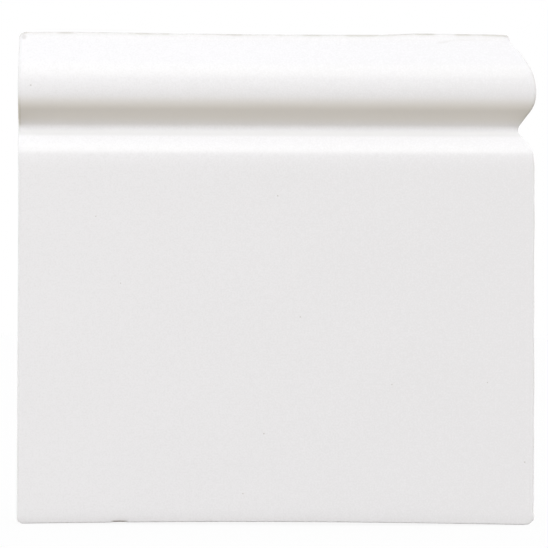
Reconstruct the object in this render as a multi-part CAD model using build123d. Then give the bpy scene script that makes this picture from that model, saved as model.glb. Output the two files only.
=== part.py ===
from build123d import *
from math import acos, cos, hypot, radians, sin, tan
import os

# Skirting external corner tile: one fired piece, square at its left end and mitred at its right end
# Millimetres. X runs along the wall, the front faces -Y, the wall is the plane y = 0, the floor is z = 0
# The origin is the wall's outside corner at floor level, and the mitre passes through the Z axis

# Overall sizes
height = 152.0
wall_length = 144.2
mitre_angle = 45.0

# Depths of the section, measured from the wall
face_depth = 16.4
groove_depth = 11.5
nose_depth = 17.0
lip_depth = 8.8

# Drops of the section's turning points below the top edge
lip_land = 0.8
nose_drop = 18.3
groove_drop = 29.8
face_drop = 40.3

# Radii of the section, from the foot upwards
foot_radius = 2.6
shoulder_radius = 11.2
groove_lower_radius = 2.1
groove_upper_radius = 1.8
nose_lower_radius = 11.6
nose_upper_radius = 16.7
cove_radius = 5.2

# Softened arrises
end_arris = 1.0
top_arris = 0.7
back_arris = 0.4

# Hollow back: the wall left round the pockets, and the solid bar behind the groove
square_rim = 11.0
foot_rim = 11.0
top_rim = 11.0
mitre_rim = 11.0
groove_bar = 10.0
pocket_depth = 7.5
pocket_draft = 8.0
pocket_corner = 4.0
pocket_floor_radius = 1.5
pocket_mouth_radius = 0.6

# Keying ribs on the floor of the large pocket
rib_height = 1.0
rib_width = 2.6
rib_flank = 30.0
rib_pitch = 12.0

# Heights that follow from the sizes above
lip_height = height - lip_land
nose_height = height - nose_drop
groove_height = height - groove_drop
face_height = height - face_drop

# An arris is no larger than the foot, the end or the lip that it runs round leaves room for
end_softening = min(end_arris, 0.4 * foot_radius)
top_softening = min(top_arris, 0.8 * end_softening, 0.9 * lip_land)
back_softening = min(back_arris, 0.8 * top_softening)

# A cutter or blank runs this far past what it cuts or is cut by
overrun = 1.0
tiny = 0.001


def tangent_turn(low_depth, low_height, high_depth, high_height, low_radius, high_radius):
    """Two arcs with upright tangents at their outer ends, joined by the straight that touches both."""
    rise = high_height - low_height
    reach = abs(high_depth - low_depth)
    largest_pair = 0.98 * (reach**2 + rise**2) / (2 * reach)
    share = min(1.0, largest_pair / (low_radius + high_radius))
    low_radius *= share
    high_radius *= share
    pair = low_radius + high_radius
    span = hypot(pair - reach, rise)
    slope = acos((pair - reach) / span) - acos(pair / span)
    outward = -1 if high_depth > low_depth else 1
    low_tangent = (
        -low_depth + outward * low_radius * (1 - cos(slope)),
        low_height + low_radius * sin(slope),
    )
    high_tangent = (
        -high_depth - outward * high_radius * (1 - cos(slope)),
        high_height - high_radius * sin(slope),
    )
    direction = (outward * sin(slope), cos(slope))
    return [
        TangentArc((-low_depth, low_height), low_tangent, tangent=(0, 1)),
        Line(low_tangent, high_tangent),
        TangentArc(high_tangent, (-high_depth, high_height), tangent=direction),
    ]


def section_face():
    """The section across the wall, as (y, z): foot, plain face, groove, nose, cove and lip."""
    outline = [
        Line((0, 0), (foot_radius - face_depth, 0)),
        TangentArc((foot_radius - face_depth, 0), (-face_depth, foot_radius), tangent=(-1, 0)),
        Line((-face_depth, foot_radius), (-face_depth, face_height)),
        *tangent_turn(
            face_depth, face_height, groove_depth, groove_height, shoulder_radius, groove_lower_radius
        ),
        *tangent_turn(
            groove_depth, groove_height, nose_depth, nose_height, groove_upper_radius, nose_lower_radius
        ),
        *tangent_turn(nose_depth, nose_height, lip_depth, lip_height, nose_upper_radius, cove_radius),
        Line((-lip_depth, lip_height), (-lip_depth, height)),
        Line((-lip_depth, height), (0, height)),
        Line((0, height), (0, 0)),
    ]
    return Plane.YZ * make_face(outline)


def mitre_plane():
    """The cut that leaves the wall's corner at the mitre angle, facing the neighbouring tile."""
    normal = (cos(radians(mitre_angle)), sin(radians(mitre_angle)), 0)
    return Plane(origin=(0, 0, 0), x_dir=(0, 0, 1), z_dir=normal)


def moulded_length():
    """The section carried along the wall, cut at the mitre, with its arrises softened by the glaze."""
    reach_past_corner = max(face_depth, nose_depth) * tan(radians(mitre_angle)) + overrun
    bar = Pos(-wall_length, 0, 0) * extrude(section_face(), wall_length + reach_past_corner)
    bar = split(bar, bisect_by=mitre_plane(), keep=Keep.BOTTOM)
    square_end = bar.faces().sort_by(Axis.X)[0]
    mitre_end = bar.faces().sort_by(Axis(mitre_plane().origin, mitre_plane().z_dir))[-1]
    end_edges = [
        edge
        for edge in square_end.edges() + mitre_end.edges()
        if edge.center().Y < -tiny and edge.center().Z < height - tiny
    ]
    bar = fillet(end_edges, end_softening)
    top_edges = [edge for edge in bar.faces().sort_by(Axis.Z)[-1].edges() if edge.center().Y < -tiny]
    return fillet(top_edges, top_softening)


def pocket(low_height, high_height):
    """A pocket open to the wall, drafted to leave the press, with rounded corners and floor."""
    left = square_rim - wall_length
    width = -mitre_rim - left
    mouth = RectangleRounded(width, high_height - low_height, pocket_corner)
    mouth = Plane.XZ * Pos(left + width / 2, (low_height + high_height) / 2) * mouth
    hollow = extrude(mouth, pocket_depth, taper=pocket_draft)
    floor_edges = hollow.faces().sort_by(Axis.Y)[0].edges()
    return fillet(floor_edges, pocket_floor_radius)


def keying_ribs(low_height, high_height):
    """Low upright ribs on a pocket's floor, which give the fixing bed its grip."""
    left = square_rim - wall_length
    width = -mitre_rim - left
    count = int((width - 2 * pocket_corner - rib_width) / rib_pitch) + 1
    crest = rib_width / 2
    root = crest + rib_height * tan(radians(rib_flank))
    floor = -pocket_depth
    shape = Polygon(
        (-root, floor - overrun),
        (root, floor - overrun),
        (root, floor),
        (crest, floor + rib_height),
        (-crest, floor + rib_height),
        (-root, floor),
        align=None,
    )
    rib = extrude(Plane.XY.offset(low_height) * shape, high_height - low_height)
    return [Pos(left + width / 2 + (i - (count - 1) / 2) * rib_pitch, 0, 0) * rib for i in range(count)]


def corner_tile():
    bar_low = groove_height - groove_bar / 2
    bar_high = groove_height + groove_bar / 2
    large_pocket = pocket(foot_rim, bar_low) - keying_ribs(foot_rim, bar_low)
    nose_pocket = pocket(bar_high, height - top_rim)
    tile = moulded_length() - large_pocket - nose_pocket
    wall_side = tile.faces().filter_by(Plane.XZ).sort_by(Axis.Y)[-1]
    mouth_edges = [edge for wire in wall_side.inner_wires() for edge in wire.edges()]
    tile = fillet(mouth_edges, pocket_mouth_radius)
    wall_side = tile.faces().filter_by(Plane.XZ).sort_by(Axis.Y)[-1]
    return fillet(wall_side.outer_wire().edges(), back_softening)


os.makedirs("parts", exist_ok=True)
export_step(corner_tile(), "parts/corner_tile.step")
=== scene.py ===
import math

import bmesh
import bpy
import numpy as np
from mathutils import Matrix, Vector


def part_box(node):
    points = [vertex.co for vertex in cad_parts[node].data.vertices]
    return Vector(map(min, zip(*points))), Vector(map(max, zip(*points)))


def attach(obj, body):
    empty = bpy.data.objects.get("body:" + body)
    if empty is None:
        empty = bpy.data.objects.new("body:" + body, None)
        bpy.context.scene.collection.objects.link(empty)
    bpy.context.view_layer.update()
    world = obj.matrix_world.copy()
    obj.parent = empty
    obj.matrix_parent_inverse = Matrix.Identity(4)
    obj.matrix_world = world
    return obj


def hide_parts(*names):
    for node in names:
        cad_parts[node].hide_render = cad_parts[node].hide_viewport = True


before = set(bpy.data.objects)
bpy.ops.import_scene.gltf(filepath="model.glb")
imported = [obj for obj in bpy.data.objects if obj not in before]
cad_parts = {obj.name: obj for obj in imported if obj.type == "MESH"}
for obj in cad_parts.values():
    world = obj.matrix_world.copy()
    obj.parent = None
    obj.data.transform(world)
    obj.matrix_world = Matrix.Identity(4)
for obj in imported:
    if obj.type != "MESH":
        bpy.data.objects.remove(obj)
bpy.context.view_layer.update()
tileLow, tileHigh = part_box("corner_tile")
mm = 0.001  # the shapes below are worked out in millimetres

# The moulded section, from the wall outwards and from the top edge down
section = {
    "length": -tileLow.x / mm,  # wall corner to square end
    "height": tileHigh.z / mm,
    "noseDepth": -tileLow.y / mm,
    "faceDepth": 16.4,
    "grooveDepth": 11.5,
    "topDepth": 8.1,  # where the bevel under the top edge would meet the top
    "noseDrop": 18.4,
    "grooveDrop": 30.1,
    "shoulderDrop": 42.2,
    "bevelTilt": 20.5,
    "bevelRun": 0.95,
    "footRadius": 0.32,
    "pillowDrop": 3.4,  # the face's last stretch leans in a little above the foot
    "pillowLean": 8.0,
    # each turn's first arcs, as radius and the tilt it ends at, then its last radius and its hollow's
    "shoulder": ([(38.0, 6.0), (5.9, 24.0)], 14.2, 2.0),
    "underNose": ([(15.0, 7.0)], 8.5, 2.7),
    "overNose": ([(15.5, 9.0), (20.0, 13.0)], 17.0, 6.6),
    "endArris": 1.0,
    "topArris": 0.65,
    "backArris": 0.4,
    "mitreGain": (0.07, 0.18),  # the mitre's arris tightens under the nose, and more towards the foot
    "mitreGainRun": 12.0,
    "arrisWaver": (0.045, 5.3, 0.6, 12.7, 1.1, 20.0),  # share, two waves with their shifts, growth run
    "topArrisFrom": (4.0, 3.0),  # below the top, where the end's arris turns into the top's, and its run
    "coveArris": (5.1, 1.5, 0.35),  # below the top, half height, and how much tighter the mitre's arris is
    "hair": 0.004,  # keeps the mitre's tip inside the part's box
    "arrisGrowth": 3.0,  # run over which the back arris grows into the end arris
}

# The pressed back: two drafted pockets, with keying ribs in the large one
hollowBack = {
    "rim": 11.0,
    "bar": 10.0,
    "barDrop": 29.8,  # middle of the bar, below the top edge
    "depth": 7.5,
    "draft": 8.0,
    "corner": 4.0,
    "floorRadius": 1.5,
    "mouthRadius": 0.6,
    "cornerFade": 4.2,  # rows and columns are straight again this far outside a mouth
    "ribHeight": 1.0,
    "ribWidth": 2.6,
    "ribFlank": 30.0,
    "ribPitch": 12.0,
}

# How finely the surface is laid out
layout = {
    "columnStep": 1.5,
    "widestColumn": 1.4,  # in column steps: a wider one is split
    "turnSteps": (4, 9, 2, 8),  # first arcs, last arc, straight and hollow of a turn
    "underShares": [0.06, 0.14, 0.24, 0.4, 0.6, 0.8, 0.9, 1],  # along the underside, from the back
    "footSteps": (6, 5),  # the foot's arris and the lean above it
    "topShares": [0.12, 0.3, 0.5, 0.7, 0.84, 0.93, 1],  # along the top, from the front
    "topSteps": 6,
    "evenShare": 0.6,  # the face's rows are this much evenly spread, and the rest like the back's
    "barRows": 5,  # back rows on each side of the bar's middle
    "floorRows": (44, 8),  # back rows over the large pocket's floor and the small one's
    "wallPoints": (5, 6),  # points in the arcs at a pocket's mouth and floor
    "flankPoints": 5,
    "roundSteps": 4,
    "mitreSteps": 9,
    "backSteps": 4,
    "endSteps": 6,
    "endCrowding": 1.5,  # the power that brings an end's columns closer to the front
    "skinStretch": (10.0, 30.0),  # the front's columns spread into the two ends over these runs
    "mergeReach": 1e-6,  # in metres, as the next one
    "flatReach": 1e-7,
}

# Where the glaze stops, in mm past the arrises, and how wide the dark line along the top's front edge is
glazeLine = {
    "underside": 2.6,
    "topBack": 1.6,
    "squareEnd": 1.8,
    "mitre": 1.4,
    "farPast": 6.0,
    "topEdge": 0.6,
}


def along(start, end, steps):
    # even steps from start to end, without the start
    return np.linspace(start, end, steps + 1)[1:]


def smooth(value):
    # 0 below 0, 1 above 1, and 3 v^2 - 2 v^3 between
    share = np.clip(value, 0, 1)
    return share * share * (3 - 2 * share)


def arcPart(centre, radius, start, end, steps, hollow=False):
    # circle arc: centre + radius (cos a, sin a), with a in even steps from start to end. A hollow one
    # faces its centre
    turn = along(math.radians(start), math.radians(end), steps)
    outward = np.stack([np.cos(turn), np.sin(turn)], axis=1)
    return np.array(centre) + radius * outward, -outward if hollow else outward


def linePart(start, end, facing, shares):
    # straight run: start + share (end - start), all facing one way
    share = np.asarray(shares)[:, None]
    points = np.array(start) * (1 - share) + np.array(end) * share
    return points, np.repeat(np.array([facing], float), len(points), axis=0)


def spoke(tilt):
    # unit way out from an arc's centre, at a tilt in degrees
    return np.array([math.cos(math.radians(tilt)), math.sin(math.radians(tilt))])


def turnPart(crest, hollow, turn, cut=0.0):
    # a turn of the moulding from a crest back to a hollow, both upright: the first arcs one after another,
    # the last arc, then the straight that touches it and the hollow's arc, which may stop at a tilt of cut.
    # The straight tilts by acos(inward / span) - acos(pair / span): inward is the level distance between
    # the last two centres, span their whole distance, and pair the two radii together
    firstArcs, radius, hollowRadius = turn
    firstSteps, lastSteps, lineSteps, hollowSteps = layout["turnSteps"]
    downward = hollow[1] < crest[1]
    mirror = np.array([1.0, -1.0 if downward else 1.0])  # a turn going down is worked out upside down
    here, target, tilt, parts = np.array(crest) * mirror, np.array(hollow) * mirror, 0.0, []
    for size, end in firstArcs:
        parts.append(arcPart(here - size * spoke(tilt), size, tilt, end, firstSteps))
        here, tilt = parts[-1][0][-1], end
    centre = here - radius * spoke(tilt)
    pair = radius + hollowRadius
    inward, rise = hollowRadius + target[0] - centre[0], target[1] - centre[1]
    span = math.hypot(inward, rise)
    lean = math.degrees(math.acos(inward / span) - math.acos(pair / span))
    hollowCentre = target + (hollowRadius, 0)
    parts.append(arcPart(centre, radius, tilt, lean, lastSteps))
    lineEnd = hollowCentre - hollowRadius * spoke(lean)
    parts.append(linePart(parts[-1][0][-1], lineEnd, spoke(lean), along(0, 1, lineSteps)))
    parts.append(arcPart(hollowCentre, hollowRadius, 180 + lean, 180 + cut, hollowSteps, hollow=True))
    points = np.concatenate([part[0] for part in parts]) * mirror
    facing = np.concatenate([part[1] for part in parts]) * mirror
    if not downward:
        return points, facing
    points = np.concatenate([[crest], points])[::-1]
    facing = np.concatenate([[(1.0, 0.0)], facing])[::-1]
    return points[1:], facing[1:]


def backRows(low, high, mouthLow, mouthHigh, lowRim, highRim, floorSteps):
    # row heights over one pocket: rim, rings of the mouth, floor, rings again, rim
    ring = ringSteps[1:]
    return np.concatenate(
        [
            along(low, mouthLow, lowRim),
            mouthLow + ring,
            along(mouthLow + ring[-1], mouthHigh - ring[-1], floorSteps),
            mouthHigh - ring[::-1][1:],
            [mouthHigh],
            along(mouthHigh, high, highRim),
        ]
    )


def pocketWall():
    # mouth arc, drafted wall and floor arc in one line, as inset from the back plane's tangent and depth
    draft = math.radians(hollowBack["draft"])
    half = math.tan((math.pi / 2 - draft) / 2)
    mouthRun, floorRun = hollowBack["mouthRadius"] * half, hollowBack["floorRadius"] * half
    depth = hollowBack["depth"]
    mouthPoints, floorPoints = layout["wallPoints"]
    mouthTurn = np.linspace(0, math.pi / 2 - draft, mouthPoints)
    mouthArc = np.stack([np.sin(mouthTurn), 1 - np.cos(mouthTurn)], axis=1) * hollowBack["mouthRadius"]
    corner = mouthRun + depth * math.tan(draft)
    floorTurn = np.linspace(math.pi / 2 - draft, 0, floorPoints)
    floorArc = np.stack([-np.sin(floorTurn), np.cos(floorTurn) - 1], axis=1) * hollowBack["floorRadius"]
    floorArc += (corner + floorRun, depth)
    middle = (mouthArc[-1] + floorArc[0]) / 2
    line = np.concatenate([mouthArc, [middle], floorArc])
    return mouthRun, line[:, 0], line[:, 1]


mouthRun, wallInset, wallDepth = pocketWall()
ringSteps = np.linspace(0, wallInset[-1], len(wallInset))


def sectionStations():
    # the section from the foot of the back, round the front, to the top of the back: as (depth, height),
    # the way it faces, and the back row that each station shares
    s = section
    rb, height, top = s["backArris"], s["height"], s["topArris"]
    bevel, coveRadius = s["bevelTilt"], s["overNose"][2]
    waist = height - hollowBack["barDrop"]
    nose = (s["noseDepth"], height - s["noseDrop"])
    groove = (s["grooveDepth"], height - s["grooveDrop"])
    face = (s["faceDepth"], height - s["shoulderDrop"])
    foot = s["footRadius"]
    rim, bar = hollowBack["rim"], hollowBack["bar"]
    start = (np.array([[0.0, rb]]), np.array([[-1.0, 0.0]]))
    backFoot = arcPart((rb, rb), rb, 180, 270, layout["backSteps"])
    pillow = s["pillowDrop"] / math.sin(math.radians(s["pillowLean"]))
    footX = face[0] - pillow + (pillow - foot) * math.cos(math.radians(s["pillowLean"]))
    pillowFoot = foot + s["pillowDrop"] * (1 - foot / pillow)
    footSteps, pillowSteps = layout["footSteps"]
    footArc = arcPart((footX, foot), foot, -90, -s["pillowLean"], footSteps)
    pillowArc = arcPart((face[0] - pillow, pillowFoot), pillow, -s["pillowLean"], 0, pillowSteps)
    under = linePart((rb, 0), (footX, 0), (0, -1), layout["underShares"])
    shoulder = turnPart(face, groove, s["shoulder"])
    footCount = len(under[0]) + len(footArc[0]) + len(pillowArc[0])
    lowerFixed = len(backFoot[0]) + footCount
    lowerEnd = len(shoulder[0])
    barRows, floorRows = layout["barRows"], layout["floorRows"]
    barLow, barHigh = waist - bar / 2 + mouthRun, waist + bar / 2 - mouthRun
    rows = backRows(rb, waist, rim - mouthRun, barLow, footCount, barRows, floorRows[0])
    lowerRows = np.concatenate([[rb], np.full(layout["backSteps"], rb), rows])
    faceCount = len(lowerRows) - 1 - lowerFixed - lowerEnd
    even = along(pillowFoot, face[1], faceCount)
    beside = lowerRows[1 + lowerFixed : 1 + lowerFixed + faceCount]
    beside = pillowFoot + (face[1] - pillowFoot) * (beside - beside[0]) / (beside[-1] - beside[0])
    beside = np.append(beside[1:], face[1])
    spread = np.sort(layout["evenShare"] * even + (1 - layout["evenShare"]) * beside)
    plain = linePart((face[0], pillowFoot), face, (1, 0), (spread - pillowFoot) / (face[1] - pillowFoot))
    underNose = turnPart(nose, groove, s["underNose"])
    bevelFoot = np.array([s["topDepth"], height]) + s["bevelRun"] * spoke(bevel - 90)
    upright = bevelFoot + coveRadius * spoke(bevel) - (coveRadius, 0)
    overNose = turnPart(nose, upright, s["overNose"], cut=bevel)
    topX = s["topDepth"] - top * (1 - spoke(bevel)[1]) / spoke(bevel)[0]
    bevelTop = np.array([topX, height - top]) + top * spoke(bevel)
    bevelLine = linePart(bevelFoot, bevelTop, spoke(bevel), [0.5, 1])
    topArc = arcPart((topX, height - top), top, bevel, 90, layout["topSteps"])
    topRun = linePart((topX, height), (rb, height), (0, 1), layout["topShares"])
    backTop = arcPart((rb, height - rb), rb, 90, 180, layout["backSteps"])
    parts = [start, backFoot, under, footArc, pillowArc, plain]
    parts += [shoulder, underNose, overNose, bevelLine, topArc, topRun, backTop]
    points = np.concatenate([part[0] for part in parts])
    facing = np.concatenate([part[1] for part in parts])
    upperCount = len(points) - len(lowerRows) - layout["backSteps"]
    ringCount = 2 * (len(ringSteps) - 1)
    topRim = upperCount - barRows - ringCount - floorRows[1]
    rows = backRows(waist, height - rb, barHigh, height - rim + mouthRun, barRows, topRim, floorRows[1])
    heights = np.concatenate([lowerRows, rows, np.full(layout["backSteps"], height - rb)])
    return points, facing, heights


def sectionColumns():
    # columns along the wall: rim, rings of the mouth, ribs and the floor between them, rings, rim
    left = -section["length"] + section["backArris"]
    right = section["backArris"] * (1 - math.sqrt(2))
    mouthLeft = hollowBack["rim"] - section["length"] - mouthRun
    mouthRight = mouthRun - hollowBack["rim"]
    middle = (mouthLeft + mouthRight) / 2
    crest, half = ribRoots()
    flank = np.linspace(crest, half, layout["flankPoints"])
    ribShape = np.concatenate([-flank[::-1], [0], flank])
    step = layout["columnStep"]
    gapSteps = int((hollowBack["ribPitch"] - 2 * half) / step) + 1
    gap = np.linspace(half, hollowBack["ribPitch"] - half, gapSteps + 1)[1:-1]
    inner = [mouthLeft + ringSteps, mouthRight - ringSteps]
    for centre in ribCentres(middle):
        inner.append(centre + ribShape)
        inner.append(centre + gap)
    places, nearly = 9, 1e-6  # decimals kept, and what counts as the same place
    known = np.unique(np.round(np.concatenate(inner), places))
    known = known[(known > mouthLeft - nearly) & (known < mouthRight + nearly)]
    onRing = np.isin(known, np.round(mouthRight - ringSteps, places))
    known = known[onRing | (known < mouthRight - ringSteps[-1] + nearly)]
    rimLeft = np.linspace(left, mouthLeft, int((mouthLeft - left) / step) + 2)
    rimRight = np.linspace(mouthRight, right, int((right - mouthRight) / step) + 2)
    columns = np.concatenate([rimLeft[:-1], known, rimRight[1:]])
    extra = [columns]
    for low, high in zip(columns[:-1], columns[1:]):
        if high - low > layout["widestColumn"] * step:
            extra.append(np.linspace(low, high, int((high - low) / step) + 2)[1:-1])
    return np.sort(np.concatenate(extra))


def ribRoots():
    # half widths of a rib: at its crest, and at its root, where its flanks lean out by the flank angle
    crest = hollowBack["ribWidth"] / 2
    return crest, crest + hollowBack["ribHeight"] * math.tan(math.radians(hollowBack["ribFlank"]))


def ribCentres(middle):
    # evenly pitched about the middle, as many as keep clear of the pocket's rounded corners
    width = section["length"] - 2 * hollowBack["rim"]
    room = width - 2 * hollowBack["corner"] - hollowBack["ribWidth"]
    count = int(room / hollowBack["ribPitch"]) + 1
    return middle + (np.arange(count) - (count - 1) / 2) * hollowBack["ribPitch"]


def pressPocket(x, z, depth, lowX, highX, lowZ, highZ):
    # rings about a mouth: each vertex keeps its ring and takes the ring's true inset and depth, and in a
    # corner it moves from the square ring to an arc about the corner's centre
    reach = hollowBack["corner"] + mouthRun
    middleX, middleZ = (lowX + highX) / 2, (lowZ + highZ) / 2
    sideX, sideZ = np.sign(x - middleX), np.sign(z - middleZ)
    fromX = (highX - lowX) / 2 - np.abs(x - middleX)
    fromZ = (highZ - lowZ) / 2 - np.abs(z - middleZ)
    ring = np.minimum(fromX, fromZ)
    other = np.maximum(fromX, fromZ)
    inset = np.where((ring > 0) & (ring < ringSteps[-1]), np.interp(ring, ringSteps, wallInset), ring)
    inside = ring > 0
    nearly = 1e-9  # keeps the turn's share from a division by nothing
    corner = (other < reach) & (ring < reach - nearly) & (ring > -hollowBack["cornerFade"])
    turn = np.clip((other - ring) / np.maximum(reach - ring, nearly), 0, 1)
    angle = np.pi / 4 * (1 + np.where(fromX > fromZ, turn, -turn))
    arcX = reach - (reach - inset) * np.cos(angle)
    arcZ = reach - (reach - inset) * np.sin(angle)
    fade = smooth(-ring / hollowBack["cornerFade"])
    squareX = np.where(fromX <= fromZ, inset, fromX)
    squareZ = np.where(fromZ <= fromX, inset, fromZ)
    newX = np.where(corner, arcX * (1 - fade) + squareX * fade, squareX)
    newZ = np.where(corner, arcZ * (1 - fade) + squareZ * fade, squareZ)
    touched = inside | corner
    x = np.where(touched, middleX + sideX * ((highX - lowX) / 2 - newX), x)
    z = np.where(touched, middleZ + sideZ * ((highZ - lowZ) / 2 - newZ), z)
    depth = np.where(inside, np.interp(ring, ringSteps, wallDepth), depth)
    return x, z, depth


def backPanel(columns, heights):
    # the back as a grid of columns and row heights, pressed in at each pocket, with ribs left standing
    x, z = np.meshgrid(columns, heights)
    depth = np.zeros_like(x)
    lowX = hollowBack["rim"] - section["length"] - mouthRun
    highX = mouthRun - hollowBack["rim"]
    waist = section["height"] - hollowBack["barDrop"]
    barLow = waist - hollowBack["bar"] / 2 + mouthRun
    barHigh = waist + hollowBack["bar"] / 2 - mouthRun
    mouthFoot = hollowBack["rim"] - mouthRun
    mouthTop = section["height"] - mouthFoot
    x, z, depth = pressPocket(x, z, depth, lowX, highX, mouthFoot, barLow)
    x, z, depth = pressPocket(x, z, depth, lowX, highX, barHigh, mouthTop)
    crest, root = ribRoots()
    offset = np.abs(x[..., None] - ribCentres((lowX + highX) / 2)).min(axis=-1)
    rise = hollowBack["ribHeight"] * smooth((root - offset) / (root - crest))
    ribbed = np.minimum(depth, hollowBack["depth"] - rise)
    depth = np.where(z < waist, ribbed, depth)
    return np.stack([x, -depth, z], axis=-1)


def turned(first, second, share):
    # the direction that lies a share of the angle from first to second: both weighed by sines (slerp)
    angle = np.arccos(np.clip((first * second).sum(axis=-1, keepdims=True), -1, 1))
    return (np.sin((1 - share) * angle) * first + np.sin(share * angle) * second) / np.sin(angle)


def arrisRadii(points):
    # the back's, the end's, the top's and the foot's arris radius, each blended into the next by smooth
    s = section
    depth, z = points[:, 0], points[:, 1]
    fromBack = smooth((depth - s["backArris"]) / s["arrisGrowth"])
    topDrop, topRun = s["topArrisFrom"]
    front = s["endArris"] + (s["topArris"] - s["endArris"]) * smooth((z - s["height"] + topDrop) / topRun)
    nearFoot = 1 - smooth((z - s["footRadius"]) / s["pillowDrop"])
    front = front + (s["footRadius"] - s["endArris"]) * nearFoot
    return s["backArris"] + (front - s["backArris"]) * fromBack


def arris(centre, size, first, second, steps):
    # centre + size times the way from first to second, in even steps, for every row at once
    share = np.linspace(0, 1, steps + 1)[None, :, None]
    return centre[:, None, :] + size[:, None, None] * turned(first[:, None, :], second[:, None, :], share)


def endReach(edge, contact, reach):
    # distance from where the end starts, less the reach of the glaze
    return np.linalg.norm(edge - contact, axis=-1) - reach


def roundReach(part, size, angle, reach):
    # what is left of the arris up to the end, radius times angle times (1 - share), and the reach, below 0
    share = np.linspace(0, 1, part.shape[1])[None, :]
    return -reach - size[:, None] * angle[:, None] * (1 - share)


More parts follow.
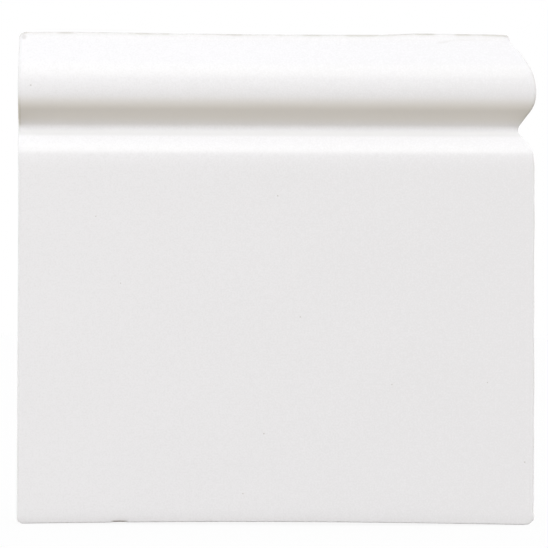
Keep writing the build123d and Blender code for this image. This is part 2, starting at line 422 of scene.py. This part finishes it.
def tileLoops():
    # one closed loop round the tile for each station: square end, front, mitre, then the back from right to
    # left. A ball of the arris radius touches the front and the end, and the arris is the arc between
    s = section
    points, facing, heights = sectionStations()
    columns = sectionColumns()
    rb, root2 = s["backArris"], math.sqrt(2)
    radius = arrisRadii(points)
    normal = np.stack([np.zeros(len(points)), -facing[:, 0], facing[:, 1]], axis=1)
    flat = np.stack([np.zeros(len(points)), -points[:, 0], points[:, 1]], axis=1)
    ball = flat - radius[:, None] * normal
    leftX = -s["length"] + radius
    noseZ = s["height"] - s["noseDrop"]
    below = noseZ - points[:, 1]
    nearGain, farGain = s["mitreGain"]
    gain = nearGain * smooth(below / s["mitreGainRun"]) + farGain * np.clip(below / noseZ, 0, 1)
    waver, quick, quickShift, slow, slowShift, waverRun = s["arrisWaver"]
    waver = waver * np.sin(below / quick + quickShift) * np.sin(below / slow + slowShift)
    waver = waver * smooth(below / waverRun)
    coveDrop, coveSpan, coveGain = s["coveArris"]
    coveGain = coveGain * np.exp(-(((s["height"] - points[:, 1] - coveDrop) / coveSpan) ** 2))
    mitreRadius = np.where(radius > rb, radius * (1 - gain + waver - coveGain), radius)
    mitreBall = flat - mitreRadius[:, None] * normal
    hair = s["hair"] * smooth((points[:, 0] - rb) / s["arrisGrowth"])
    rightX = -mitreBall[:, 1] - root2 * mitreRadius - hair
    leftBall = ball + leftX[:, None] * [1, 0, 0]
    rightBall = mitreBall + rightX[:, None] * [1, 0, 0]
    endWay = np.array([-1.0, 0, 0])
    mitreWay = np.array([1.0, 1.0, 0]) / root2
    backWay = np.array([0, 1.0, 0])
    rows = len(points)
    same = np.ones((rows, 1))
    backBallLeft = np.stack([np.full(rows, rb - s["length"]), np.full(rows, -rb), heights], axis=1)
    backBallRight = np.stack([np.full(rows, rb * (1 - root2)), np.full(rows, -rb), heights], axis=1)
    backSize = np.full(rows, rb)
    leftBack = arris(backBallLeft, backSize, same * backWay, same * endWay, layout["backSteps"])
    leftFront = arris(leftBall, radius, same * endWay, normal, layout["roundSteps"])
    # as many steps behind as in front, so that the two meet point for point at the top and the foot
    rightFront = arris(rightBall, mitreRadius, normal, same * mitreWay, layout["mitreSteps"])
    rightBack = arris(backBallRight, backSize, same * mitreWay, same * backWay, layout["mitreSteps"])

    pullRun, pushRun = layout["skinStretch"]
    pull = smooth(1 - (columns - columns[0]) / pullRun)
    push = smooth((columns - columns[-1]) / pushRun + 1)
    skinX = columns + pull * (leftX[:, None] - columns[0]) + push * (rightX[:, None] - columns[-1])
    skin = np.stack(np.broadcast_arrays(skinX, flat[:, 1:2], flat[:, 2:3]), axis=-1)
    back = backPanel(columns, heights)[:, ::-1]

    ends = np.linspace(0, 1, layout["endSteps"] + 1)[None, :, None] ** layout["endCrowding"]
    leftEnd = leftFront[:, :1] + (leftBack[:, -1:] - leftFront[:, :1]) * ends[:, ::-1]
    rightEnd = rightFront[:, -1:] + (rightBack[:, :1] - rightFront[:, -1:]) * ends
    loop = np.concatenate(
        [
            leftBack,
            leftEnd[:, 1:],
            leftFront[:, 1:],
            skin[:, 1:-1],
            rightFront,
            rightEnd[:, 1:],
            rightBack[:, 1:],
            back[:, 1:-1],
        ],
        axis=1,
    )

    # how far each vertex lies past the glaze line, and how far round an arris it is
    run = np.concatenate([[0], np.cumsum(np.linalg.norm(np.diff(points, axis=0), axis=1))])
    underEnd = layout["backSteps"] + len(layout["underShares"])
    underLine = run[underEnd] - glazeLine["underside"]
    topLine = run[-1] - glazeLine["topBack"]
    past = np.maximum(underLine - run, run - topLine)[:, None]
    leftAngle = np.arccos(np.clip(normal @ endWay, -1, 1))
    rightAngle = np.arccos(np.clip(normal @ mitreWay, -1, 1))
    far, square, mitre = glazeLine["farPast"], glazeLine["squareEnd"], glazeLine["mitre"]
    bare = np.concatenate(
        [
            np.full(leftBack.shape[:2], far),
            np.maximum(past, endReach(leftEnd, leftFront[:, :1], square))[:, 1:],
            np.maximum(past, roundReach(leftFront, radius, leftAngle, square)[:, ::-1])[:, 1:],
            np.maximum(past, np.full(skin.shape[:2], -far))[:, 1:-1],
            np.maximum(past, roundReach(rightFront, mitreRadius, rightAngle, mitre)),
            np.maximum(past, endReach(rightEnd, rightFront[:, -1:], mitre))[:, 1:],
            np.full((rows, rightBack.shape[1] - 1), far),
            np.full((rows, back.shape[1] - 2), far),
        ],
        axis=1,
    )

    # bells along the top's front edge, and half a sine wave across each arris
    gap = np.hypot(points[:, 0] - s["topDepth"], points[:, 1] - s["height"])
    halfway = np.sin(np.linspace(0, np.pi, layout["roundSteps"] + 1))[None, 1:]
    mitreHalfway = np.sin(np.linspace(0, np.pi, layout["mitreSteps"] + 1))[None, :]
    firstRound = leftBack.shape[1] + leftEnd.shape[1] - 1
    secondRound = firstRound + halfway.shape[1] + skin.shape[1] - 2
    frontEnd = secondRound + mitreHalfway.shape[1]
    arrisShare = np.zeros(loop.shape[:2])
    arrisShare[:, firstRound : firstRound + halfway.shape[1]] = halfway
    arrisShare[:, secondRound:frontEnd] = mitreHalfway
    topEdge = np.zeros(loop.shape[:2])
    topEdge[:, firstRound + 1 : frontEnd] = np.exp(-((gap / glazeLine["topEdge"]) ** 2))[:, None]
    return loop, {"pastGlaze": bare, "arrisShare": arrisShare, "topEdge": topEdge}


# What pressing and firing did to the shape, all of it inwards
firing = {
    "footBow": 0.88,
    "footMiddle": -61.6,
    "footSpan": 88.0,
    "footFade": 26.0,
    "topDip": 0.60,
    "topHumps": [(-130.0, 36.0, 0.60), (-20.0, 9.0, 0.42), (-4.0, 12.0, 0.28)],  # place, width, height
    "topFade": 12.0,
    "leftLean": (0.06, 0.18),  # at the foot, and more by the shoulder
    "leanPlace": (-118.0, 20.0),  # where along the wall it starts, and its run
    "leanTop": (3.0, 13.0),  # below the shoulder, where it starts to fade, and its run
    "frontOnly": (6.0, 4.0),  # the depth where the front's own changes start, and their run
    "ripple": 0.035,
    "rippleWaves": [(8.3, 0.7, 11.1, 1.9), (19.0, -0.4, 6.7, 0.3)],  # along and up, each with its shift
    "chip": (-112.4, 2.2, 0.15, 0.7),  # place, half width, depth, height
    # worn corners: where along the wall each starts, which way it goes, how easily it turns, top or foot
    "corners": [(6.0, 1, 4.6, 1), (-142.5, -1, 2.4, 1), (13.0, 1, 4.0, -1), (-142.8, -1, 1.6, -1)],
    "cornerReach": 2.8,
    "cornerFade": 7.0,
    "footSwell": (0.1, -70.0, 50.0),  # the foot leans in less from here towards the mitre
    "footPull": (0.31, 2.6, 2.8, 9.0, 6.0),  # of the mitre: pull, height, half height, start and run
}


def fired(loop):
    # adds to each point, in turn: the foot's bow (a parabola), the top's dip less its humps (bells), worn
    # corners (parabolas from where each starts), the mitred foot's pull (a bell), the left end's lean, a slow
    # ripple of the front (products of sines), the foot's swell (a parabola) and one small chip (a flat bell)
    f, s = firing, section
    x, y, z = loop[..., 0].copy(), loop[..., 1].copy(), loop[..., 2].copy()
    bow = f["footBow"] * np.clip(1 - ((x - f["footMiddle"]) / f["footSpan"]) ** 2, 0, 1)
    z = z + bow * (1 - smooth(z / f["footFade"]))
    dip = np.full_like(x, f["topDip"])
    for place, width, rise in f["topHumps"]:
        dip -= rise * np.exp(-(((x - place) / width) ** 2))
    z = z - np.clip(dip, 0, 1) * smooth((z - s["height"] + f["topFade"]) / f["topFade"])
    for start, way, ease, side in f["corners"]:
        over = np.clip((x - start) * way, 0, f["cornerReach"])
        away = s["height"] - z if side > 0 else z
        z = z - side * over**2 / ease * smooth(1 - away / f["cornerFade"])
    shoulder = s["height"] - s["shoulderDrop"]
    fadeDrop, fadeRun = f["leanTop"]
    body = 1 - smooth((z - shoulder + fadeDrop) / fadeRun)
    pull, pullUp, pullSpan, pullStart, pullRun = f["footPull"]
    x = x - pull * np.exp(-(((z - pullUp) / pullSpan) ** 2)) * smooth((x - pullStart) / pullRun)
    leanStart, leanRun = f["leanPlace"]
    leftWeight = smooth((leanStart - x) / leanRun)
    x = x + leftWeight * body * (f["leftLean"][0] + f["leftLean"][1] * smooth(z / shoulder))
    frontStart, frontRun = f["frontOnly"]
    front = smooth((-y - frontStart) / frontRun)
    ripple = np.full_like(x, len(f["rippleWaves"]))
    for wave, shift, rise, riseShift in f["rippleWaves"]:
        ripple += np.sin(x / wave + shift) * np.sin(z / rise + riseShift)
    y = y + front * f["ripple"] * ripple
    swell, swellStart, swellRun = f["footSwell"]
    lowness = np.clip(1 - (z - bow) / s["pillowDrop"], 0, 1)
    y = y - swell * front * lowness**2 * smooth((x - swellStart) / swellRun)
    place, width, depth, height = f["chip"]
    bite = np.exp(-(((x - place) / width) ** 4)) * np.exp(-((z - bow) / height) ** 2) * front
    z = z + depth * bite
    y = y + depth * bite
    return np.stack([x, y, z], axis=-1)


def closedMesh(name, loop, values):
    # quads between neighbouring loops, joined right round; points that meet are merged, which closes the
    # seam and both poles, and the normals are then worked out again
    rows, around = loop.shape[:2]
    index = np.arange(rows * around).reshape(rows, around)
    beside = np.roll(index, -1, axis=1)
    quads = np.stack([index[:-1], beside[:-1], beside[1:], index[1:]], axis=-1).reshape(-1, 4)
    mesh = bpy.data.meshes.new(name)
    mesh.from_pydata((loop.reshape(-1, 3) * mm).tolist(), [], quads.tolist())
    for key, value in values.items():
        layer = mesh.attributes.new(key, "FLOAT", "POINT")
        layer.data.foreach_set("value", value.astype(np.float32).ravel())
    work = bmesh.new()
    work.from_mesh(mesh)
    bmesh.ops.remove_doubles(work, verts=work.verts, dist=layout["mergeReach"])
    bmesh.ops.dissolve_degenerate(work, edges=work.edges, dist=layout["flatReach"])
    bmesh.ops.recalc_face_normals(work, faces=work.faces)
    openEdges = sum(1 for edge in work.edges if not edge.is_manifold)
    volume = work.calc_volume(signed=True)
    work.to_mesh(mesh)
    work.free()
    mesh.polygons.foreach_set("use_smooth", np.ones(len(mesh.polygons), bool))
    mesh.update()
    print(f"{name}: {len(mesh.polygons)} faces, {openEdges} open edges, {volume / mm ** 3:.0f} mm3")
    piece = bpy.data.objects.new(name, mesh)
    bpy.context.scene.collection.objects.link(piece)
    return piece


class Wire:
    # one shader socket; sums and products of wires add their own Math nodes
    def __init__(self, bench, socket):
        self.bench = bench
        self.socket = socket

    def joined(self, operation, first, second):
        return self.bench.node("ShaderNodeMath", {"operation": operation}, {0: first, 1: second})

    def __add__(self, other):
        return self.joined("ADD", self, other)

    def __sub__(self, other):
        return self.joined("SUBTRACT", self, other)

    def __rsub__(self, other):
        return self.joined("SUBTRACT", other, self)

    def __mul__(self, other):
        return self.joined("MULTIPLY", self, other)

    def __pow__(self, other):
        return self.joined("POWER", self, other)

    __radd__ = __add__
    __rmul__ = __mul__


class Bench:
    # one node tree, emptied, and the one way of adding a node to it
    def __init__(self, owner):
        owner.use_nodes = True
        self.tree = owner.node_tree
        self.tree.nodes.clear()

    def node(self, kind, settings=None, values=None, output=0):
        made = self.tree.nodes.new(kind)
        for key, value in (settings or {}).items():
            if key == "stops":
                self.setStops(made.color_ramp, value)
            else:
                setattr(made, key, value)
        for key, value in (values or {}).items():
            if isinstance(value, Wire):
                self.tree.links.new(value.socket, made.inputs[key])
            else:
                made.inputs[key].default_value = value
        return Wire(self, made.outputs[output]) if made.outputs else made

    def setStops(self, ramp, stops):
        # a new ramp has two stops, and the others are added between them
        for place, _ in stops[1:-1]:
            ramp.elements.new(place)
        for element, (place, tone) in zip(ramp.elements, stops):
            element.position = place
            element.color = (*tone, 1.0)

    def attribute(self, name):
        return self.node("ShaderNodeAttribute", {"attribute_name": name}, output="Fac")

    def noise(self, place, scale, detail=2.0, roughness=0.5):
        values = {"Vector": place, "Scale": scale, "Detail": detail, "Roughness": roughness}
        return self.node("ShaderNodeTexNoise", {}, values, "Fac")

    def layers(self, place, noises):
        # a sum of noises, each centred on 0 and then multiplied by its reach
        total = 0
        for scale, detail, reach in noises:
            total = total + (self.noise(place, scale, detail) - 0.5) * reach
        return total

    def patches(self, place, scale, detail, low, high):
        # a noise, cut to 0 below low and 1 above high
        return self.ease(self.noise(place, scale, detail), low, high)

    def size(self, value):
        # the value without its sign
        return self.node("ShaderNodeMath", {"operation": "ABSOLUTE"}, {0: value})

    def ease(self, value, low, high):
        # smooth step: 0 at low, 1 at high
        settings = {"interpolation_type": "SMOOTHSTEP"}
        values = {"Value": value, "From Min": low, "From Max": high}
        return self.node("ShaderNodeMapRange", settings, values)

    def window(self, value, start, low, high, end):
        # 0 up to start, 1 from low to high, and 0 again from end
        return self.ease(value, start, low) * (1 - self.ease(value, high, end))

    def blend(self, share, first, second):
        # colours sit on the Mix node's seventh and eighth sockets
        first, second = (c if isinstance(c, Wire) else (*c, 1.0) for c in (first, second))
        return self.node("ShaderNodeMix", {"data_type": "RGBA"}, {0: share, 6: first, 7: second}, 2)


# The glaze. A noise is given as scale and detail, a run as places along the wall in metres, and a band as
# places up the moulding in mm from the nose's height
glazeLook = {
    "white": (0.838, 0.830, 0.845),
    "mottleAndShade": (0.800, 0.792, 0.804),
    "underNoseShade": (0.808, 0.777, 0.732),
    "underArrisShade": (0.42, 0.36, 0.24),
    "grooveShade": (0.755, 0.750, 0.752),
    "thinGlazeAndShade": (0.60, 0.585, 0.555),
    "pinhole": (0.38, 0.35, 0.31),
    "chipShadow": (0.20, 0.155, 0.11),
    "wander": [(130, 3, 3.2), (900, 2, 0.7)],  # how far in mm the glaze line strays with each noise
    "lineFade": (-0.25, 0.35),
    "mottleNoise": [(620, 2, 0.3), (1900, 1, 0.7)],  # each with its share
    "mottleGain": 1.7,
    "shadeDrift": (0.064, 1.5),  # painted shade: a touch greyer towards the mitre, the side further from the lamp
    "mottleFade": (0.2, 0.8),
    "broken": (170, 3, 0.42, 0.62),  # with the window that is cut from it, as the next one
    "fine": (1400, 2, 0.35, 0.6),
    "fineShare": 0.4,
    "mitreRun": (-0.1, 0.0),
    "leftShare": 0.3,  # how dark the left arris is beside the mitre's, which takes more painted shade
    "underBand": (-11.0, -8.0, -3.0, 0.0),
    "underNoseShadeBand": (-12.0, -7.5, -5.5, -0.5),
    "grooveShadeBand": (-14.2, -13.2, -12.6, -11.4),
    "underArrisShadeBand": (-12.0, -9.0, -5.0, 1.0),
    "underArrisShadeShares": (0.25, 0.3),  # painted shade: everywhere in its band, and more in the patches of the broken noise
    "overBand": (-1.0, 5.0),
    "wornAndShadeShares": (0.12, 0.4, 0.6, 0.25),  # real wear everywhere and where broken, and painted shade under the nose and over it
    "arrisPower": 3.0,
    "topShares": (0.4, 0.65, 0.25),  # of the dark top line: everywhere, where broken, towards the mitre
    "topRun": (-0.06, -0.03),
    "gap": (-12.3, 2.0, 4.2, 0.75),  # the top line stops here: place, half width and fade in mm, share
    "crease": (149.0, 0.95, -13.8, -8.9, 4.5),  # a faint line below it: height, rise, start, bend and end
    "creaseWidth": (0.12, 0.5),
    "creaseRuns": (1.5, 4.0),
    "creaseShares": (0.2, 0.55),  # its strength, and how much of it the bend takes away
    "chipShadowNoise": [(900, 2, 1.5)],
    "chipShadowAcross": (1.2, 3.0),
    "chipShadowUp": (0.7, 1.5),
    "chipShadowShare": 0.85,
    "gloss": (0.085, 0.055),
    "glossNoise": (75, 3),
    "peelNoise": (620.0, 1),
    "pitSpread": (0.4, 1.2),
    "relief": (0.35, 3.0, 2.2),  # heights of the peel, the pinholes and the clay's grain
    "bump": (0.35, 0.00006),  # strength, and height in metres
    "index": 1.5,
    "pinholes": [  # along the wall and up, in mm, size and strength
        (-140.2, 135.2, 0.30, 0.42),
        (-142.6, 150.3, 0.80, 0.22),
        (-64.0, 101.4, 0.22, 0.55),
        (-68.0, 28.1, 0.24, 0.55),
        (-74.4, 9.6, 0.22, 0.5),
        (-56.9, 64.1, 0.22, 0.5),
        (-112.3, 74.3, 0.20, 0.5),
        (12.4, 19.6, 0.24, 0.5),
        (15.4, 70.4, 0.45, 0.4),
        (15.45, 69.0, 0.45, 0.5),
        (15.4, 67.4, 0.45, 0.4),
        (0.8, 44.1, 0.20, 0.5),
        (-28.6, 43.4, 0.20, 0.5),
        (-120.0, 94.9, 0.20, 0.5),
    ],
}
clayLook = {
    "light": (0.79, 0.745, 0.675),
    "dark": (0.735, 0.685, 0.605),
    "fleck": (0.36, 0.27, 0.19),
    "rough": 0.86,
    "grainNoise": (2600.0, 3),
    "patchNoise": (45, 4),
    "grainShare": 0.4,
    "patchFade": (0.25, 0.75),
    "fleckCells": 420.0,
    "fleckFade": (0.08, 0.2),
    "fleckPlaces": (300, 1, 0.62, 0.68),
    "fleckShare": 0.8,
}


def noseWindow(bench, z, edges):
    # a window on the height, with its edges in mm from the height of the nose
    nose = tileHigh.z - section["noseDrop"] * mm
    return bench.window(z, *[nose + edge * mm for edge in edges])


def topLineShare(bench, x, broken):
    # the dark line along the top's front edge, with its gap near the mitre
    look = glazeLook
    everywhere, whereBroken, towardsMitre = look["topShares"]
    line = everywhere + broken * whereBroken + bench.ease(x, *look["topRun"]) * towardsMitre
    gapX, gapHalf, gapFade, gapShare = look["gap"]
    gap = 1 - bench.ease(bench.size(x - gapX * mm), gapHalf * mm, gapFade * mm)
    return bench.attribute("topEdge") * line * (1 - gap * gapShare)


def creaseShare(bench, x, z):
    # the faint line below it, level at first and then bending up
    look = glazeLook
    height, rise, start, turn, end = look["crease"]
    core, edge = look["creaseWidth"]
    startRun, endRun = look["creaseRuns"]
    share, bendLoss = look["creaseShares"]
    bend = bench.ease(x, start * mm, turn * mm)
    away = bench.size(z - height * mm - bend * (rise * mm))
    crease = (1 - bench.ease(away, core * mm, edge * mm)) * (1 - bend * bendLoss)
    crease = crease * bench.window(x, (start - startRun) * mm, start * mm, (end - endRun) * mm, end * mm)
    return crease * share


def chipShadowShare(bench, place, x, z):
    # painted contact shadow at the chip in the foot, with a ragged edge
    look = glazeLook
    across = bench.size(x - firing["chip"][0] * mm) + bench.layers(place, look["chipShadowNoise"]) * mm
    low, high = look["chipShadowUp"]
    core, edge = look["chipShadowAcross"]
    chipShadow = (1 - bench.ease(across, core * mm, edge * mm)) * (1 - bench.ease(z, low * mm, high * mm))
    return chipShadow * look["chipShadowShare"]


def pinholeShare(bench, x, z):
    # a sum of small cones, each falling off with the squared distance from its pinhole
    inner, outer = glazeLook["pitSpread"]
    pit = 0
    for pitX, pitZ, size, strength in glazeLook["pinholes"]:
        away = (x - pitX * mm) ** 2.0 + (z - pitZ * mm) ** 2.0
        pit = pit + (1 - bench.ease(away, (inner * size * mm) ** 2, (outer * size * mm) ** 2)) * strength
    return pit


def glazeOnClay():
    # white gloss glaze over pale fired clay: the glaze line wanders with noise, the glaze thins on the
    # arrises, and it carries pinholes and faint lines. Painted shade darkens the arrises, greys the glaze
    # towards the mitre and in the groove, warms it under the nose, browns the left arris under the nose, and
    # a painted contact shadow sits in the chip
    look, clay = glazeLook, clayLook
    material = bpy.data.materials.new("whiteGlazeOnClay")
    bench = Bench(material)
    place = bench.node("ShaderNodeTexCoord", output="Object")
    x = bench.node("ShaderNodeSeparateXYZ", {}, {0: place}, 0)
    z = bench.node("ShaderNodeSeparateXYZ", {}, {0: place}, 2)
    arrisShare = bench.attribute("arrisShare")
    past = bench.attribute("pastGlaze") + bench.layers(place, look["wander"])
    glazed = 1 - bench.ease(past, *look["lineFade"])

    # painted shade on top of the real mottle: the glaze colour drifts greyer towards the mitre, away from the
    # light
    driftFrom, drift = look["shadeDrift"]
    mottleAndShade = bench.layers(place, look["mottleNoise"]) * look["mottleGain"] + (x + driftFrom) * drift + 0.5
    colour = bench.blend(bench.ease(mottleAndShade, *look["mottleFade"]), look["white"], look["mottleAndShade"])
    # painted shade: a warmer, darker tone under the nose, where it lies in shade
    colour = bench.blend(noseWindow(bench, z, look["underNoseShadeBand"]), colour, look["underNoseShade"])
    # painted shade: a greyer band low in the groove, where the nose shades it
    colour = bench.blend(noseWindow(bench, z, look["grooveShadeBand"]), colour, look["grooveShade"])

    broken = bench.patches(place, *look["broken"])
    fine = bench.patches(place, *look["fine"])
    atMitre = bench.ease(x, *look["mitreRun"])
    nose = tileHigh.z - section["noseDrop"] * mm
    over = bench.ease(z, *[nose + edge * mm for edge in look["overBand"]])
    # the arrises darken, partly from thin glaze and partly as painted shade where they turn away from the
    # light, most on the mitre side and under and over the nose
    wornAndShaded, wornBroken, shadeUnder, shadeOver = look["wornAndShadeShares"]
    wornAndShaded = wornAndShaded + broken * wornBroken + noseWindow(bench, z, look["underBand"]) * shadeUnder + over * shadeOver
    fine = (1 - look["fineShare"]) + fine * look["fineShare"]
    sideShare = look["leftShare"] + atMitre * (1 - look["leftShare"])
    thinGlazeAndShade = arrisShare ** look["arrisPower"] * wornAndShaded * fine * sideShare
    colour = bench.blend(thinGlazeAndShade, colour, look["thinGlazeAndShade"])

    # painted shade: a brown line on the left end's arris under the nose, where it faces down and away from
    # the light
    underArrisShade, shadeWhereBroken = look["underArrisShadeShares"]
    underArrisShade = (underArrisShade + broken * shadeWhereBroken) * noseWindow(bench, z, look["underArrisShadeBand"])
    colour = bench.blend(underArrisShade * arrisShare * (1 - atMitre), colour, look["underArrisShade"])
    colour = bench.blend(topLineShare(bench, x, broken), colour, look["thinGlazeAndShade"])
    colour = bench.blend(creaseShare(bench, x, z), colour, look["thinGlazeAndShade"])
    pit = pinholeShare(bench, x, z)
    colour = bench.blend(pit, colour, look["pinhole"])
    # painted contact shadow at the chip
    colour = bench.blend(chipShadowShare(bench, place, x, z), colour, look["chipShadow"])

    grain = bench.noise(place, *clay["grainNoise"])
    patch = bench.noise(place, *clay["patchNoise"])
    patch = patch * (1 - clay["grainShare"]) + grain * clay["grainShare"]
    clayColour = bench.blend(bench.ease(patch, *clay["patchFade"]), clay["light"], clay["dark"])
    cells = bench.node("ShaderNodeTexVoronoi", {}, {"Vector": place, "Scale": clay["fleckCells"]}, "Distance")
    fleck = (1 - bench.ease(cells, *clay["fleckFade"])) * bench.patches(place, *clay["fleckPlaces"])
    clayColour = bench.blend(fleck * clay["fleckShare"], clayColour, clay["fleck"])

    gloss = look["gloss"][0] + bench.noise(place, *look["glossNoise"]) * look["gloss"][1]
    peelHeight, pitHeight, grainHeight = look["relief"]
    peel = bench.noise(place, *look["peelNoise"])
    relief = (peel * peelHeight - pit * pitHeight) * glazed + grain * (1 - glazed) * grainHeight
    values = {"Height": relief, "Strength": look["bump"][0], "Distance": look["bump"][1]}
    values = {
        "Base Color": bench.blend(glazed, clayColour, colour),
        "Roughness": gloss * glazed + (1 - glazed) * clay["rough"],
        "Normal": bench.node("ShaderNodeBump", {}, values, "Normal"),
        "IOR": look["index"],
    }
    surface = bench.node("ShaderNodeBsdfPrincipled", {}, values, "BSDF")
    bench.node("ShaderNodeOutputMaterial", {}, {"Surface": surface})
    return material


print("laying out the tile")
loop, glazeValues = tileLoops()
tile = closedMesh("glazedCornerTile", fired(loop), glazeValues)
tile.data.materials.append(glazeOnClay())
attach(tile, "root")
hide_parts("corner_tile")

# Plain studio: a white surround for the eye and for reflections, and a banded one for the light it gives
studio = {
    "sky": [(0.0, 0.0), (0.2, 3.62), (0.5, 1.44), (1.0, 0.15)],  # height of the direction, radiance
    "skyScale": 4.0,
    "skyTint": (0.99, 0.998, 1.018),
    "floorTone": (0.14, 0.115, 0.075),
    "floorSeen": (0.8, 0.8, 0.8),
    "floorShadow": 0.09,
    "floorWhite": 1.0,
    "lampPower": 4.0,
    "lampTint": (1.0, 1.0, 0.82),
    "lampSize": 1.2,
    "lampPlace": (-0.25, -1.45, 1.75),
    "lampAim": (-0.065, 0.0, 0.08),
    "floorSize": 12.0,
}


def seenShare(bench):
    # 1 for rays from the camera, a mirror or glass, 0 for the rest
    path = bench.node("ShaderNodeLightPath", output="Is Camera Ray")
    outputs = path.socket.node.outputs
    glossy, through = Wire(bench, outputs["Is Glossy Ray"]), Wire(bench, outputs["Is Transmission Ray"])
    return bench.node("ShaderNodeMath", {"operation": "MINIMUM"}, {0: path + glossy + through, 1: 1.0})


def studioWorld():
    # for the light it gives, radiance goes with the direction's height: none below level, most a little above
    # it, then less and less up to the zenith. Where it is seen, it is white
    world = bpy.data.worlds.new("paleStudio")
    bpy.context.scene.world = world
    bench = Bench(world)
    way = bench.node("ShaderNodeTexCoord", output="Generated")
    up = bench.node("ShaderNodeSeparateXYZ", {}, {0: way}, 2)
    tint = np.array(studio["skyTint"]) / studio["skyScale"]
    stops = [(place, tuple(level * tint)) for place, level in studio["sky"]]
    light = bench.node("ShaderNodeValToRGB", {"stops": stops}, {"Fac": up}, "Color")
    seen = seenShare(bench)
    colour = bench.blend(seen, light, (1.0, 1.0, 1.0))
    strength = studio["skyScale"] + seen * (1 - studio["skyScale"])
    surround = bench.node("ShaderNodeBackground", {}, {"Color": colour, "Strength": strength})
    bench.node("ShaderNodeOutputWorld", {}, {"Surface": surround})


def studioFloor():
    # seen as white with a faint shadow, and dark brown in the light that it throws back
    half = studio["floorSize"] / 2
    corners = [(-half, -half, 0), (half, -half, 0), (half, half, 0), (-half, half, 0)]
    mesh = bpy.data.meshes.new("floor")
    mesh.from_pydata(corners, [], [(0, 1, 2, 3)])
    floor = bpy.data.objects.new("floor", mesh)
    bpy.context.scene.collection.objects.link(floor)
    material = bpy.data.materials.new("paleFloor")
    bench = Bench(material)
    seen = seenShare(bench)
    tone = bench.blend(seen, studio["floorTone"], studio["floorSeen"])
    matte = bench.node("ShaderNodeBsdfDiffuse", {}, {"Color": tone})
    glow = {"Color": (1.0, 1.0, 1.0, 1.0), "Strength": studio["floorWhite"]}
    white = bench.node("ShaderNodeEmission", {}, glow)
    share = seen * (1 - studio["floorShadow"])
    surface = bench.node("ShaderNodeMixShader", {}, {0: share, 1: matte, 2: white})
    bench.node("ShaderNodeOutputMaterial", {}, {"Surface": surface})
    mesh.materials.append(material)


def studioLamp():
    # one soft square lamp, up in front and a little to the left, turned to face the tile
    lamp = bpy.data.lights.new("softbox", "AREA")
    lamp.energy = studio["lampPower"]
    lamp.color = studio["lampTint"]
    lamp.size = studio["lampSize"]
    holder = bpy.data.objects.new("softbox", lamp)
    bpy.context.scene.collection.objects.link(holder)
    place = np.array(studio["lampPlace"])
    holder.location = place
    aim = np.array(studio["lampAim"]) - place
    holder.rotation_euler = (
        math.atan2(math.hypot(aim[0], aim[1]), -aim[2]),
        0,
        math.atan2(aim[1], aim[0]) - math.pi / 2,
    )


# Level with the middle of the tile, two metres off, with the picture's slight clockwise roll
lens = {"away": 2.017, "along": -0.06505, "up": 0.0773, "focal": 426.57, "sensor": 36, "far": 20, "roll": 0.2}


def pictureCamera():
    # square on to the front, apart from the roll in degrees
    camera = bpy.data.cameras.new("picture")
    camera.lens = lens["focal"]
    camera.sensor_width = lens["sensor"]
    camera.clip_end = lens["far"]
    holder = bpy.data.objects.new("picture", camera)
    bpy.context.scene.collection.objects.link(holder)
    holder.location = (lens["along"], -lens["away"], lens["up"])
    holder.rotation_euler = (math.pi / 2, -math.radians(lens["roll"]), 0)
    bpy.context.scene.camera = holder


print("setting up the studio")
studioWorld()
studioFloor()
studioLamp()
pictureCamera()
bpy.context.scene.view_settings.view_transform = "Standard"
